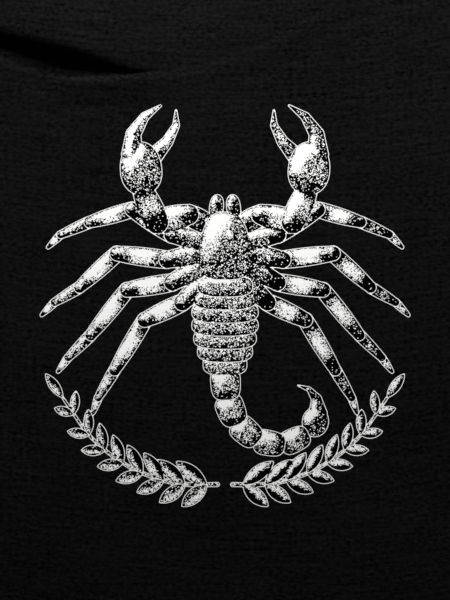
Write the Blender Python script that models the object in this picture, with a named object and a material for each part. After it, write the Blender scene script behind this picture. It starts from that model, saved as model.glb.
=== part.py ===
"""A crew-neck T-shirt laid flat on its back, face up, with a soft swag fold across the upper chest.

Metres, +Z up. X runs across the shirt, +Y towards the collar, and the shirt lies on Z = 0.
The pieces are those a maker sews together: front panel, back panel, two sleeves, rib collar and neck tape.
"""

import math

import bmesh
import bpy
from mathutils import Vector
from mathutils.geometry import delaunay_2d_cdt

# Body, size large: half its width, its hem, and where the side seam meets the sleeve
BODY_HALF = 0.280
HEM_Y = -0.375
UNDERARM = Vector((BODY_HALF, 0.085))
SHOULDER_TIP = Vector((0.245, 0.305))
ARMHOLE_PULL = Vector((0.215, 0.180))
ARMHOLE_STEPS = 12

# Neck: where the shoulder meets the collar seam, and how far the seam drops in front and behind
NECK_HALF = 0.095
NECK_Y = 0.355
FRONT_DROP = 0.112
FRONT_CURVE = 1.0
BACK_DROP = 0.022
BACK_CURVE = 1.7
NECK_STEPS = 26

# Rib collar: its free edge, which is a little narrower and higher than the seam
COLLAR_EDGE_HALF = 0.084
COLLAR_RISE = 0.020
COLLAR_THICK = 0.0020
COLLAR_FRONT_Z = 0.0033
COLLAR_BACK_Z = 0.0010
COLLAR_FOLD_STEPS = 4

# Tape sewn over the back neck seam, inside
TAPE_WIDTH = 0.010
TAPE_HALF = 0.087
TAPE_THICK = 0.0004

# Sleeves
SLEEVE_LENGTH = 0.222
SLEEVE_DROOP = math.radians(32)
CUFF_WIDTH = 0.185
CUFF_SLANT = math.radians(26)
SLEEVE_SEAM_HEIGHT = 0.0029
SLEEVE_EDGE_HEIGHT = 0.0036
SLEEVE_RISE_SHARE = 0.15
SLEEVE_PUFF = 0.0024
SLEEVE_ROWS = 10
SLEEVE_FOLD_STEPS = 3

# Cloth and the space left between two pieces that touch
CLOTH = 0.0012
GAP = 0.00035

# Swag fold. Its lower crest is a curve across the chest, level at CREST_LEVEL_X
CREST_LEVEL_X = -0.125
CREST_LOWEST_Y = 0.1722
CREST_BEND_LEFT = 5.0
CREST_BEND_RIGHT = 0.62
CREST_CUBE_RIGHT = 2.5

# Left of its tip the fold opens: the lip of the upper cloth climbs away from the crest
FOLD_TIP_X = -0.062
LIP_SLOPE = 0.19
LIP_BEND = 0.42
FOLD_LEFT_END = -0.236
FOLD_RIGHT_END = 0.150

# Heights in the fold, above the cloth around it: the upper cloth, the crest, and the hollow between
UPPER_RISE_LEFT = 0.0115
UPPER_RISE_RIGHT = 0.0022
UPPER_REACH = 0.070
CREST_RISE = 0.0024
CREST_RISE_LEFT = 0.0004
HOLLOW_SINK = 0.0014

# How far the fold's profile reaches above its lip and below its crest, and the points on it
PROFILE_ABOVE = 0.022
PROFILE_BELOW = 0.024
FOLD_ROW_STEP = 0.0032
FOLD_COLUMN_STEP = 0.013
PROFILE_SAMPLES = 90

# The lie of the rest of the front: edges that stay down, a soft middle, drag folds and hem ripples
EDGE_PUFF = 0.0020
EDGE_PUFF_REACH = 0.012
EDGE_SETTLE = 0.045
BROAD_WAVE = 0.0009
DRAG_HEIGHT = 0.0042
DRAG_WIDTH = 0.017
DRAG_LENGTH = 0.120
DRAG_ANGLES = (math.radians(24), math.radians(-14), math.radians(-50))
HEM_RIPPLE = 0.0022
HEM_RIPPLE_LENGTH = 0.155
HEM_RIPPLE_REACH = 0.150

# Spacing of the front's points, along its edges and inside
EDGE_STEP = 0.022
EDGE_MARGIN = 0.010
GRID_STEP = 0.023

JERSEY_COLOUR = (0.0050, 0.0050, 0.0052, 1)
RIB_COLOUR = (0.0060, 0.0060, 0.0062, 1)
TAPE_COLOUR = (0.0080, 0.0080, 0.0084, 1)


def fabric(name, colour):
    """A matt cloth finish."""
    material = bpy.data.materials.new(name)
    material.use_nodes = True
    shader = material.node_tree.nodes["Principled BSDF"]
    shader.inputs["Base Color"].default_value = colour
    shader.inputs["Roughness"].default_value = 0.95
    shader.inputs["Metallic"].default_value = 0.0
    material.diffuse_color = colour
    return material


def new_object(name, points, faces, material):
    """A mesh object of these points and faces, with its faces turned outwards."""
    mesh = bpy.data.meshes.new(name)
    mesh.from_pydata([tuple(p) for p in points], [], faces)
    shape = bmesh.new()
    shape.from_mesh(mesh)
    bmesh.ops.recalc_face_normals(shape, faces=shape.faces)
    shape.to_mesh(mesh)
    shape.free()
    mesh.materials.append(material)
    mesh.shade_smooth()
    mesh.set_sharp_from_angle(angle=math.radians(40))
    obj = bpy.data.objects.new(name, mesh)
    bpy.context.scene.collection.objects.link(obj)
    return obj


def give_thickness(obj, thickness, side):
    """Turns an open sheet into a closed solid. side is 1 to grow along its normals, 0 both ways, -1 against them."""
    solidify = obj.modifiers.new("Thickness", "SOLIDIFY")
    solidify.thickness = thickness
    solidify.offset = side


# Outlines

def smooth_step(low, high, value):
    t = min(1.0, max(0.0, (value - low) / (high - low)))
    return t * t * (3 - 2 * t)


def spaced(start, end, step):
    """Points from start up to but not including end, about a step apart."""
    count = max(1, round((end - start).length / step))
    return [start.lerp(end, i / count) for i in range(count)]


def armhole(outset):
    """The right armhole seam from underarm to shoulder tip, moved outset away from the body."""
    points = []
    for i in range(ARMHOLE_STEPS + 1):
        t = i / ARMHOLE_STEPS
        lower = UNDERARM.lerp(ARMHOLE_PULL, t)
        upper = ARMHOLE_PULL.lerp(SHOULDER_TIP, t)
        away = (upper - lower).orthogonal().normalized()
        if away.x < 0:
            away.negate()
        points.append(lower.lerp(upper, t) + away * outset)
    return points


def neck_arc(half_width, y, drop, curve):
    """A neck curve from right to left, both ends included. curve is 1 for half an ellipse, 2 for a parabola."""
    angles = [math.pi * i / NECK_STEPS for i in range(NECK_STEPS + 1)]
    return [Vector((half_width * math.cos(a), y - drop * abs(math.sin(a)) ** curve)) for a in angles]


def body_outline(neck_drop, neck_curve, step):
    """The outline of a body panel, anticlockwise from the hem's right corner."""
    hem_corner = Vector((BODY_HALF, HEM_Y))
    neck_point = Vector((NECK_HALF, NECK_Y))
    right = spaced(hem_corner, UNDERARM, step)
    right += armhole(0)[:-1]
    right += spaced(SHOULDER_TIP, neck_point, step)
    neck = neck_arc(NECK_HALF, NECK_Y, neck_drop, neck_curve)
    left = [Vector((-p.x, p.y)) for p in reversed(right)]
    hem = spaced(left[-1], hem_corner, step)[1:]
    return right + neck + left + hem


def distance_to_outline(point, outline):
    """The distance from a point to the nearest side of a closed outline."""
    nearest = 1.0
    for a, b in zip(outline, outline[1:] + outline[:1]):
        side = b - a
        t = min(1.0, max(0.0, (point - a).dot(side) / side.length_squared))
        nearest = min(nearest, (point - a - side * t).length)
    return nearest


def is_inside(point, outline):
    """True if the point lies inside the closed outline."""
    inside = False
    for a, b in zip(outline, outline[1:] + outline[:1]):
        if (a.y > point.y) != (b.y > point.y):
            inside ^= point.x < a.x + (point.y - a.y) * (b.x - a.x) / (b.y - a.y)
    return inside


# The swag fold

def crest_line(x):
    """Where the fold's lower crest crosses the chest at x."""
    t = x - CREST_LEVEL_X
    if t < 0:
        return CREST_LOWEST_Y + CREST_BEND_LEFT * t**2
    return CREST_LOWEST_Y + CREST_BEND_RIGHT * t**2 + CREST_CUBE_RIGHT * t**3


def lip_line(x):
    """Where the lip of the upper cloth is at x. Right of the tip it meets the crest."""
    away = max(0.0, FOLD_TIP_X - x)
    return crest_line(max(x, FOLD_TIP_X)) + LIP_SLOPE * away + LIP_BEND * away**2


def fold_fade(x):
    """0 at the fold's two ends, 1 between them."""
    left = smooth_step(FOLD_LEFT_END, FOLD_LEFT_END + 0.050, x)
    return left * (1 - smooth_step(FOLD_RIGHT_END - 0.110, FOLD_RIGHT_END, x))


def upper_rise(x, above):
    """How high the cloth lies at this distance above the lip."""
    open_share = 1 - smooth_step(-0.125, -0.055, x)
    rise = UPPER_RISE_RIGHT + (UPPER_RISE_LEFT - UPPER_RISE_RIGHT) * open_share
    return rise * math.exp(-((above / UPPER_REACH) ** 2))


def fold_profile(x):
    """Points on the fold's section at x, from above the lip to below the crest, as Y and rise."""
    lip, crest = lip_line(x), crest_line(x)
    top = upper_rise(x, 0)
    drop = top + HOLLOW_SINK
    roll = drop / (UPPER_RISE_LEFT + HOLLOW_SINK)
    crest_rise = CREST_RISE_LEFT + (CREST_RISE - CREST_RISE_LEFT) * smooth_step(-0.150, -0.115, x)
    crest_rise *= 1 - 0.7 * smooth_step(0.0, 0.09, x)
    corners = [
        (lip + PROFILE_ABOVE, upper_rise(x, PROFILE_ABOVE)),
        (lip + 0.0150, upper_rise(x, 0.015)),
        (lip + 0.0095, top - 0.02 * drop),
        (lip + 0.0052, top - 0.09 * drop),
        (lip + 0.0020 * roll, top - 0.30 * drop),
        (lip - 0.0006 * roll, top - 0.55 * drop),
        (lip + 0.0020 * roll, top - 0.82 * drop),
        (lip + 0.0012, -HOLLOW_SINK),
        (lip + 0.5 * (crest - lip), -HOLLOW_SINK),
        (crest + 0.0004, -0.8 * HOLLOW_SINK),
        (crest - 0.0008, 0.3 * crest_rise),
        (crest - 0.0030, 1.05 * crest_rise),
        (crest - 0.0075, crest_rise),
        (crest - 0.0150, 0.45 * crest_rise),
        (crest - PROFILE_BELOW, 0.0),
    ]
    return [Vector(corner) for corner in corners]


def smooth_curve(corners, samples):
    """Points along the soft curve that these corners pull, from the first corner to the last."""
    first, last = corners[0], corners[-1]
    pulls = [2 * first - corners[1], *corners, 2 * last - corners[-2]]
    points = []
    for i in range(samples + 1):
        place = (len(corners) - 1) * i / samples
        k = min(int(place), len(corners) - 2)
        t = place - k
        weights = ((1 - t) ** 3, 3 * t**3 - 6 * t**2 + 4, 1 + 3 * t + 3 * t**2 - 3 * t**3, t**3)
        points.append(sum((w * p for w, p in zip(weights, pulls[k:k + 4])), Vector((0, 0))) / 6)
    return points


def fold_shift(x, y, curves={}):
    """How far the fold moves a point of the flat front: along Y, and up."""
    top, bottom = lip_line(x) + PROFILE_ABOVE, crest_line(x) - PROFILE_BELOW
    if y >= top:
        return 0.0, upper_rise(x, y - lip_line(x))
    if y <= bottom:
        return 0.0, 0.0
    if x not in curves:
        curves[x] = smooth_curve(fold_profile(x), PROFILE_SAMPLES)
    curve = curves[x]
    lengths = [(b - a).length for a, b in zip(curve, curve[1:])]
    left = sum(lengths) * (top - y) / (top - bottom)
    for a, b, length in zip(curve, curve[1:], lengths):
        if left <= length:
            place = a.lerp(b, left / length)
            return place.x - y, place.y
        left -= length
    return 0.0, 0.0


def front_lie(point, outline):
    """Where a point of the flat front panel lies: the top of the cloth."""
    x, y = point
    edge_distance = distance_to_outline(point, outline)
    settle = smooth_step(0, EDGE_SETTLE, edge_distance)
    puff = 1 - math.exp(-edge_distance / EDGE_PUFF_REACH)
    height = EDGE_PUFF * puff
    waves = 1 + 0.5 * math.sin(11 * x + 9 * y + 0.6) + 0.5 * math.sin(17 * y - 13 * x + 2.1)
    height += settle * BROAD_WAVE * waves
    for side in (-1, 1):
        away = Vector((UNDERARM.x * side, UNDERARM.y)) - point
        for number, angle in enumerate(DRAG_ANGLES):
            along = Vector((side * math.cos(angle), math.sin(angle)))
            reach = away.dot(along)
            off = away.cross(along)
            swell = smooth_step(0, 0.03, reach) * (1 - smooth_step(0.05, DRAG_LENGTH, reach))
            share = 1 - 0.25 * number
            height += settle * share * DRAG_HEIGHT * swell * math.exp(-((off / DRAG_WIDTH) ** 2))
    ripple = 0.5 + 0.5 * math.sin(2 * math.pi * x / HEM_RIPPLE_LENGTH + 0.9 * math.sin(9 * x))
    height += puff * HEM_RIPPLE * ripple * math.exp(-(y - HEM_Y) / HEM_RIPPLE_REACH)
    along_y, up = fold_shift(x, y)
    share = settle * fold_fade(x)
    height = max(0.0, height + share * up)
    return Vector((x, y + share * along_y, 2 * CLOTH + GAP + height))


def fold_rows(outline):
    """Rows of points along the fold, close together. A row stops short of the outline."""
    columns = math.floor((FOLD_RIGHT_END - FOLD_LEFT_END) / FOLD_COLUMN_STEP)
    count = round((PROFILE_ABOVE + PROFILE_BELOW + 0.014) / FOLD_ROW_STEP)
    rows = []
    for number in range(count + 1):
        rows.append([])
        for i in range(1, columns):
            x = FOLD_LEFT_END + i * FOLD_COLUMN_STEP
            top, bottom = lip_line(x) + PROFILE_ABOVE, crest_line(x) - PROFILE_BELOW
            point = Vector((x, bottom + (top - bottom) * number / count))
            if is_inside(point, outline) and distance_to_outline(point, outline) > EDGE_MARGIN:
                rows[-1].append(point)
            elif rows[-1]:
                rows.append([])
    return rows


def loose_points(outline):
    """Points for the rest of the front: a staggered grid that leaves room for the fold's rows."""
    found = []
    across_count = round(2 * BODY_HALF / GRID_STEP)
    up_count = round((NECK_Y - HEM_Y) / GRID_STEP)
    clear = 0.45 * GRID_STEP
    for row in range(1, up_count):
        for column in range(across_count):
            x = -BODY_HALF + (column + 0.25 + 0.5 * (row % 2)) * GRID_STEP
            y = HEM_Y + row * GRID_STEP
            low = crest_line(x) - PROFILE_BELOW - clear
            high = lip_line(x) + PROFILE_ABOVE + clear
            if FOLD_LEFT_END < x < FOLD_RIGHT_END and low < y < high:
                continue
            found.append(Vector((x, y)))
    return [p for p in found if is_inside(p, outline) and distance_to_outline(p, outline) > EDGE_MARGIN]


def build_front_panel(jersey):
    """The front of the body, one cut sheet with the swag fold across its chest."""
    outline = body_outline(FRONT_DROP, FRONT_CURVE, EDGE_STEP)
    points = list(outline)
    count = len(outline)
    kept_edges = [(i, (i + 1) % count) for i in range(count)]
    for row in fold_rows(outline):
        kept_edges += [(len(points) + i, len(points) + i + 1) for i in range(len(row) - 1)]
        points += row
    points += loose_points(outline)
    flat, _, faces, *_ = delaunay_2d_cdt(points, kept_edges, [], 1, 1e-6)
    obj = new_object("front_panel", [front_lie(p, outline) for p in flat], faces, jersey)
    if sum(face.normal.z for face in obj.data.polygons) < 0:
        obj.data.flip_normals()
    give_thickness(obj, CLOTH, -1)


def build_slab(name, outline, z, thickness, material):
    """A flat sheet of this outline, thickness high, lying at z."""
    shape = bmesh.new()
    face = shape.faces.new([shape.verts.new((p.x, p.y, z)) for p in outline])
    lifted = bmesh.ops.extrude_face_region(shape, geom=[face])["geom"]
    tops = [v for v in lifted if isinstance(v, bmesh.types.BMVert)]
    bmesh.ops.translate(shape, verts=tops, vec=(0, 0, thickness))
    bmesh.ops.recalc_face_normals(shape, faces=shape.faces)
    if shape.calc_volume(signed=True) < 0:
        bmesh.ops.reverse_faces(shape, faces=shape.faces)
    mesh = bpy.data.meshes.new(name)
    shape.to_mesh(mesh)
    shape.free()
    mesh.materials.append(material)
    obj = bpy.data.objects.new(name, mesh)
    bpy.context.scene.collection.objects.link(obj)
    return obj


def build_back_panel(jersey):
    """The back of the body, flat against what the shirt lies on."""
    outline = body_outline(BACK_DROP, BACK_CURVE, 2 * EDGE_STEP)
    build_slab("back_panel", outline, 0.0, CLOTH, jersey)


def build_neck_tape(tape):
    """The strip that covers the back neck seam, inside."""
    seam = neck_arc(NECK_HALF, NECK_Y - GAP, BACK_DROP, BACK_CURVE)
    upper = [p for p in seam if abs(p.x) < TAPE_HALF]
    lower = [p - Vector((0, TAPE_WIDTH)) for p in upper]
    build_slab("neck_tape", upper + lower[::-1], CLOTH + GAP, TAPE_THICK, tape)


def collar_loop(half_width, y, front_drop, back_drop):
    """One edge of the flattened collar: along the front, over the left fold, along the back and over the right fold."""
    middle = (COLLAR_FRONT_Z + COLLAR_BACK_Z) / 2
    radius = (COLLAR_FRONT_Z - COLLAR_BACK_Z) / 2
    front = neck_arc(half_width, y, front_drop, FRONT_CURVE)
    back = neck_arc(half_width, y, back_drop, BACK_CURVE)[::-1]
    loop = [Vector((p.x, p.y, COLLAR_FRONT_Z)) for p in front]
    turns = [math.pi * i / COLLAR_FOLD_STEPS for i in range(1, COLLAR_FOLD_STEPS)]
    for a in turns:
        loop.append(Vector((-half_width - radius * math.sin(a), y, middle + radius * math.cos(a))))
    loop += [Vector((p.x, p.y, COLLAR_BACK_Z)) for p in back]
    for a in turns:
        loop.append(Vector((half_width + radius * math.sin(a), y, middle - radius * math.cos(a))))
    return loop


def build_collar(rib):
    """The rib band round the neck, folded flat at its two sides."""
    side_room = GAP + COLLAR_THICK / 2 + (COLLAR_FRONT_Z - COLLAR_BACK_Z) / 2
    seam = collar_loop(NECK_HALF - side_room, NECK_Y, FRONT_DROP - GAP, BACK_DROP - 2 * GAP)
    edge_half = COLLAR_EDGE_HALF - side_room
    edge = collar_loop(edge_half, NECK_Y + COLLAR_RISE, FRONT_DROP - GAP, BACK_DROP - 4 * GAP)
    count = len(seam)
    faces = [(i, (i + 1) % count, count + (i + 1) % count, count + i) for i in range(count)]
    obj = new_object("collar_rib", seam + edge, faces, rib)
    give_thickness(obj, COLLAR_THICK, 0)


def sleeve_height(across, along):
    """The height of the sleeve's upper layer, from 0 to 1 across and from armhole to cuff along."""
    puff = math.sin(math.pi * across) ** 0.6 * smooth_step(-0.05, 0.20, along)
    soft_fold = 0.5 + 0.5 * math.cos(2 * math.pi * (1.6 * across - 0.55 * along))
    height = SLEEVE_SEAM_HEIGHT
    height += (SLEEVE_EDGE_HEIGHT - SLEEVE_SEAM_HEIGHT) * smooth_step(0, SLEEVE_RISE_SHARE, along)
    return height + SLEEVE_PUFF * puff * (0.55 + 0.45 * soft_fold * (1 - 0.5 * along))


def build_sleeve(name, side, jersey):
    """One short sleeve, a flattened tube open at the armhole and at the cuff. side is 1 on the right, -1 on the left."""
    outward = Vector((math.cos(SLEEVE_DROOP), -math.sin(SLEEVE_DROOP)))
    inward = Vector((-math.sin(CUFF_SLANT), -math.cos(CUFF_SLANT)))
    cuff_top = SHOULDER_TIP + outward * SLEEVE_LENGTH
    seam = armhole(GAP)[::-1]
    rings = []
    for row in range(SLEEVE_ROWS + 1):
        along = row / SLEEVE_ROWS
        radius = sleeve_height(0, along) / 2
        plan = []
        for i, seam_point in enumerate(seam):
            cuff_point = cuff_top + inward * CUFF_WIDTH * i / ARMHOLE_STEPS
            plan.append(seam_point.lerp(cuff_point, along))
        beyond_top = (plan[0] - plan[1]).normalized()
        beyond_low = (plan[-1] - plan[-2]).normalized()
        tops = [Vector((p.x, p.y, sleeve_height(i / ARMHOLE_STEPS, along))) for i, p in enumerate(plan)]
        lows = [Vector((p.x, p.y, 0.0)) for p in reversed(plan)]
        turns = [math.pi * i / SLEEVE_FOLD_STEPS for i in range(1, SLEEVE_FOLD_STEPS)]
        ring = list(tops)
        for a in turns:
            bulge = plan[-1] + beyond_low * radius * math.sin(a)
            ring.append(Vector((bulge.x, bulge.y, radius + radius * math.cos(a))))
        ring += lows
        for a in turns:
            bulge = plan[0] + beyond_top * radius * math.sin(a)
            ring.append(Vector((bulge.x, bulge.y, radius - radius * math.cos(a))))
        rings.append([Vector((side * p.x, p.y, p.z)) for p in ring])
    count = len(rings[0])
    faces = []
    for row in range(SLEEVE_ROWS):
        for i in range(count):
            j = (i + 1) % count
            low, high = row * count, (row + 1) * count
            faces.append((low + i, low + j, high + j, high + i))
    obj = new_object(name, [p for ring in rings for p in ring], faces, jersey)
    highest = max(obj.data.polygons, key=lambda face: face.center.z)
    if highest.normal.z < 0:
        obj.data.flip_normals()
    give_thickness(obj, CLOTH, -1)


def main():
    for obj in list(bpy.data.objects):
        bpy.data.objects.remove(obj)
    jersey = fabric("jersey", JERSEY_COLOUR)
    build_back_panel(jersey)
    build_front_panel(jersey)
    build_sleeve("sleeve_right", 1, jersey)
    build_sleeve("sleeve_left", -1, jersey)
    build_collar(fabric("rib", RIB_COLOUR))
    build_neck_tape(fabric("tape", TAPE_COLOUR))


main()
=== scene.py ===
"""The looks of a black crew-neck T-shirt laid flat, face up, with a white print on its chest.

Every piece is cut flat, as cloth is, and then laid in the place that the solids have.
Its flat cut is kept in a UV map in metres, so that the knit, the print and the stitches follow the cloth.
"""
import math

import bpy
import numpy as np
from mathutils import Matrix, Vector
from mathutils.geometry import delaunay_2d_cdt


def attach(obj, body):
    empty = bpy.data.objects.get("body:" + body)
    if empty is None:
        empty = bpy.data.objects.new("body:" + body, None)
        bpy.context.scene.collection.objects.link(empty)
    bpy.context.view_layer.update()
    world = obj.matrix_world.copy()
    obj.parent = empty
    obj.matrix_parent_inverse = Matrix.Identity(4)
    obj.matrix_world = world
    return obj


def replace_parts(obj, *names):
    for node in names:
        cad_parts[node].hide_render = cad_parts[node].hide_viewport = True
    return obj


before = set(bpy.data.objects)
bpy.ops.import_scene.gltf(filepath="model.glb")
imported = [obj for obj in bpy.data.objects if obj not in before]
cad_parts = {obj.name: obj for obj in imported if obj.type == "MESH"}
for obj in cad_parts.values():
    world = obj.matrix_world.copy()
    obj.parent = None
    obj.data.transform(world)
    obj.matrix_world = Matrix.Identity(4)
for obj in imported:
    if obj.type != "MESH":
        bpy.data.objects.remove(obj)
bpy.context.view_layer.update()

# Back panel
# The back of the body, cut from one piece of black cotton jersey and hemmed along the bottom.
# It lies flat on the table, sewn to the front along its sides and shoulders.
UNDERARM = np.array((0.280, 0.085))
SHOULDER_TIP = np.array((0.245, 0.305))
ARMHOLE_PULL = np.array((0.215, 0.180))
ARMHOLE_LENGTH = 0.235
NECK_HALF = 0.095
NECK_Y = 0.355
BACK_DROP, BACK_CURVE = 0.022, 1.7
HEM_Y = -0.375
CLOTH = 0.0009
EDGE_STEP = 0.004
EDGE_ROWS = (0.0008, 0.0018, 0.0030, 0.0046, 0.0068)
HEM_ROWS = (0.0095, 0.0125, 0.0150, 0.0163, 0.0173, 0.0183, 0.0193, 0.0203, 0.0213, 0.0225, 0.0250)
HEM_DEPTH = 0.0200
HEM_RISE = 0.00055
STITCH_LINES = (0.0168, 0.0208)
STITCH_SINK = 0.00035
BACK_LATTICE = 0.012
ROW_SHARE = 0.87
JERSEY_BLACK = (0.0040, 0.0040, 0.0041, 1)


def smooth(low, high, value):
    t = np.clip((value - low) / (high - low), 0, 1)
    return t * t * (3 - 2 * t)


def spaced(start, end, step):
    """Points from start up to but not including end, about a step apart."""
    count = max(1, round(float(np.hypot(*(end - start))) / step))
    return [start + (end - start) * i / count for i in range(count)]


def armhole(t):
    """The right armhole seam, from the underarm at 0 to the shoulder tip at 1."""
    t = np.asarray(t)[..., None]
    return (1 - t) ** 2 * UNDERARM + 2 * t * (1 - t) * ARMHOLE_PULL + t**2 * SHOULDER_TIP


def neck_line(half_width, y, drop, curve, count):
    """A neck curve from right to left. curve is 1 for half an ellipse and 2 for a parabola."""
    a = np.pi * np.arange(count + 1) / count
    return np.stack([half_width * np.cos(a), y - drop * np.abs(np.sin(a)) ** curve], 1)


def right_seam(step):
    """The right edge of the body: side seam, armhole and shoulder, as a list of points."""
    corner, neck_point = np.array((UNDERARM[0], HEM_Y)), np.array((NECK_HALF, NECK_Y))
    arm = list(armhole(np.linspace(0, 1, round(ARMHOLE_LENGTH / step), endpoint=False)))
    return spaced(corner, UNDERARM, step) + arm + spaced(SHOULDER_TIP, neck_point, step)


def body_outline(drop, curve, step):
    """The cut of a body panel, anticlockwise from the hem's right corner."""
    corner = np.array((UNDERARM[0], HEM_Y))
    right = right_seam(step)
    neck = list(neck_line(NECK_HALF, NECK_Y, drop, curve, 2 * round(0.14 / step)))
    left = [p * (-1, 1) for p in reversed(right)]
    return np.array(right + neck + left + spaced(left[-1], corner, step)[1:])


def from_line(points, line, closed=True):
    """The distance of each point from a line of points."""
    nearest = np.full(len(points), 9.0)
    ends = np.roll(line, -1, 0) if closed else line[1:]
    for a, b in zip(line, ends):
        t = np.clip((points - a) @ (b - a) / ((b - a) @ (b - a)), 0, 1)
        nearest = np.minimum(nearest, np.hypot(*(points - a - t[:, None] * (b - a)).T))
    return nearest


def inside(points, outline):
    """Which of the points lie inside a closed outline."""
    found = np.zeros(len(points), bool)
    x, y = points.T
    for (ax, ay), (bx, by) in zip(outline, np.roll(outline, -1, 0)):
        if ay != by:
            found ^= ((ay > y) != (by > y)) & (x < ax + (y - ay) * (bx - ax) / (by - ay))
    return found


def edge_points(outline, rows):
    """Rows of points that run just inside an outline, at these distances from it."""
    along = np.roll(outline, -1, 0) - np.roll(outline, 1, 0)
    inward = np.stack([-along[:, 1], along[:, 0]], 1) / np.hypot(*along.T)[:, None]
    points = np.concatenate([outline + inward * row for row in rows])
    depth = np.repeat(rows, len(outline))
    keep = inside(points, outline) & (from_line(points, outline) > depth * 0.97 - 1e-5)
    return points[keep]


def hem_points():
    """Rows of points across the hem, closer at its two lines of stitches."""
    x = np.arange(-UNDERARM[0] + 0.009, UNDERARM[0] - 0.008, EDGE_STEP)
    return np.array([(px, HEM_Y + row) for row in HEM_ROWS for px in x])


def lattice(outline, step, margin):
    """Points on a staggered grid, inside the outline and clear of it by a margin."""
    low, high = outline.min(0), outline.max(0)
    rows = np.arange(low[1], high[1], step * ROW_SHARE)
    columns = np.arange(low[0], high[0], step)
    points = np.array([(x + 0.5 * step * (i % 2), y) for i, y in enumerate(rows) for x in columns])
    points = points[inside(points, outline)]
    return points[from_line(points, outline) > margin]


def cut(outline, points):
    """Triangles over the outline and the points inside it: the points, and the faces."""
    count = len(outline)
    everything = [Vector(p) for p in np.concatenate([outline, points])]
    sides = [(i, (i + 1) % count) for i in range(count)]
    flat, _, faces, *_ = delaunay_2d_cdt(everything, sides, [], 1, 1e-6)
    return np.array([tuple(p) for p in flat]), faces


def lay_cloth(name, flat, faces, placed, finishes):
    """A piece of cloth without thickness: its flat cut, laid in its place."""
    mesh = bpy.data.meshes.new(name)
    mesh.from_pydata(placed.tolist(), [], [tuple(face) for face in faces])
    for finish in finishes:
        mesh.materials.append(finish)
    uv = mesh.uv_layers.new(name="cut")
    corners = np.zeros(len(mesh.loops), int)
    mesh.loops.foreach_get("vertex_index", corners)
    uv.data.foreach_set("uv", flat[corners].astype(np.float32).ravel())
    mesh.shade_smooth()
    piece = bpy.data.objects.new(name, mesh)
    bpy.context.scene.collection.objects.link(piece)
    return piece


def face_up(piece):
    """Turns the faces of a sheet that lies on the table to look up."""
    normals = np.zeros(3 * len(piece.data.polygons))
    piece.data.polygons.foreach_get("normal", normals)
    if normals[2::3].sum() < 0:
        piece.data.flip_normals()


def thicken(piece, thickness, side, inner_slot=0):
    """Gives a laid cloth its thickness, on the side of its normals or against them."""
    bpy.ops.object.select_all(action="DESELECT")
    bpy.context.view_layer.objects.active = piece
    piece.select_set(True)
    solid = piece.modifiers.new("Thickness", "SOLIDIFY")
    solid.thickness = thickness
    solid.offset = side
    solid.material_offset = inner_slot
    bpy.ops.object.modifier_apply(modifier=solid.name)


class Value:
    """One output of a material's node, so that shader maths can be written as sums."""

    def __init__(self, finish, socket):
        self.finish = finish
        self.socket = socket

    def __add__(self, other):
        return self.finish.maths("ADD", self, other)

    def __sub__(self, other):
        return self.finish.maths("SUBTRACT", self, other)

    def __rsub__(self, other):
        return self.finish.maths("SUBTRACT", other, self)

    def __mul__(self, other):
        return self.finish.maths("MULTIPLY", self, other)

    def __truediv__(self, other):
        return self.finish.maths("DIVIDE", self, other)

    def __abs__(self):
        return self.finish.maths("ABSOLUTE", self)

    def __and__(self, other):
        return self.finish.maths("MINIMUM", self, other)

    def __or__(self, other):
        return self.finish.maths("MAXIMUM", self, other)

    def __lt__(self, other):
        return self.finish.maths("LESS_THAN", self, other)

    def __gt__(self, other):
        return self.finish.maths("GREATER_THAN", self, other)

    __radd__ = __add__
    __rmul__ = __mul__


class Finish:
    """One material: a Principled shader and the nodes that feed it."""

    def __init__(self, name, **constants):
        self.material = bpy.data.materials.new(name)
        self.material.use_nodes = True
        self.tree = self.material.node_tree
        self.shader = self.tree.nodes["Principled BSDF"]
        for socket, value in constants.items():
            self.set(self.shader, socket.replace("_", " "), value)

    def set(self, node, socket, value):
        """Joins a value to a socket, or sets the socket to a number or a colour."""
        if isinstance(value, Value):
            self.tree.links.new(value.socket, node.inputs[socket])
        else:
            node.inputs[socket].default_value = value

    def node(self, kind, settings, inputs, output=0):
        """Adds a node with these settings and inputs, and returns one of its outputs."""
        node = self.tree.nodes.new(kind)
        for name, value in settings.items():
            setattr(node, name, value)
        for socket, value in inputs.items():
            self.set(node, socket, value)
        return Value(self, node.outputs[output])

    def maths(self, operation, *values):
        return self.node("ShaderNodeMath", {"operation": operation}, dict(enumerate(values)))

    def mix(self, share, first, second):
        """A colour between first, at 0, and second, at 1."""
        return self.node("ShaderNodeMix", {"data_type": "RGBA"}, {0: share, 6: first, 7: second}, 2)

    def point(self, x, y):
        return self.node("ShaderNodeCombineXYZ", {}, {0: x, 1: y})

    def noise(self, x, y, detail=2.0):
        """Noise over a plane, about 0.5, whose lumps are one unit across."""
        place = self.point(x, y)
        kind = {"noise_dimensions": "2D"}
        return self.node("ShaderNodeTexNoise", kind, {"Vector": place, "Scale": 1.0, "Detail": detail})

    def relief(self, height):
        """Bends the normal by a height in metres."""
        bump = self.node("ShaderNodeBump", {}, {"Height": height, "Distance": 1.0, "Strength": 1.0})
        self.set(self.shader, "Normal", bump)


def cloth_plane(finish):
    """Where a point lies in the flat cut: metres across and metres up the cloth."""
    plane = finish.node("ShaderNodeUVMap", {"uv_map": "cut"}, {})
    x = finish.node("ShaderNodeSeparateXYZ", {}, {0: plane}, 0)
    y = finish.node("ShaderNodeSeparateXYZ", {}, {0: plane}, 1)
    return x, y


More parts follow.
